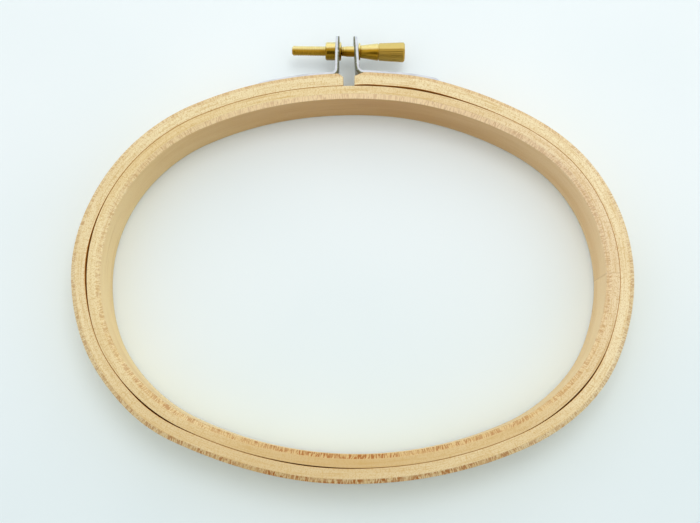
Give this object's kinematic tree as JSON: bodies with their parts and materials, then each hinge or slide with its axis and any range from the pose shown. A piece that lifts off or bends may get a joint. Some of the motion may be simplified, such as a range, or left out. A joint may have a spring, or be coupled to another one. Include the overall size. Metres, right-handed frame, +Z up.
{
  "type": "embroidery hoop",
  "caption": "Oval bent-wood embroidery hoop: a closed inner hoop inside a split outer hoop, drawn shut on the fabric by a brass thumb screw through sheet-metal ears.",
  "frame": {"origin": "under the middle of the whole part's box, on the plane that the hoop lies on", "axes": "+X along the oval's length, from the rod's tip towards the knob; +Y towards the split and the thumb screw; +Z up through the window"},
  "size_m": [0.1558, 0.1298, 0.016],
  "materials": {
    "beech_inner": "bare sanded bent beech, pale tan, with brown ray flecks on the chamfered edges",
    "beech_outer": "bare sanded bent beech, pale tan, with brown ray flecks on the chamfered edges",
    "bracket_plate": "nickel-plated sheet steel, lightly rubbed",
    "rivet_metal": "nickel-plated steel, domed and smooth",
    "screw_brass": "turned yellow brass, bright, with fine lathe lines and a straight knurl",
    "bush_brass": "turned yellow brass, slightly duller than the screw"
  },
  "bodies": {
    "outer_left": {"outer_hoop_left": "beech_outer", "left_bracket": "bracket_plate", "left_rivet_1": "rivet_metal", "left_rivet_2": "rivet_metal", "threaded_bush": "bush_brass"},
    "outer_right": {"outer_hoop_right": "beech_outer", "right_bracket": "bracket_plate", "right_rivet_1": "rivet_metal", "right_rivet_2": "rivet_metal"},
    "washer": {"collar_washer": "bush_brass"},
    "screw": {"thumb_screw": "screw_brass"},
    "inner": {"inner_hoop": "beech_inner"}
  },
  "joints": [
    {"name": "hoop_flex", "type": "hinge", "parent": "outer_left", "child": "outer_right", "pos_m": [0, -0.06488, 0.008], "axis": [0, 0, -1], "range_deg": [0, 1.83]},
    {"name": "screw_travel", "type": "slide", "parent": "outer_left", "child": "washer", "axis": [1, 0, 0], "range_m": [0, 0.004]},
    {"name": "knob_turn", "type": "hinge", "parent": "washer", "child": "screw", "pos_m": [0, 0.06028, 0.008], "axis": [1, 0, 0], "range_deg": [0, 2880]},
    {"name": "inner_lift", "type": "slide", "parent": "outer_left", "child": "inner", "axis": [0, 0, 1], "range_m": [0, 0.02]}
  ],
  "couplings": [
    {"joint": "screw_travel", "follows": "hoop_flex", "m_per_rad": 0.12515},
    {"joint": "knob_turn", "follows": "hoop_flex", "ratio": 1572.7}
  ]
}
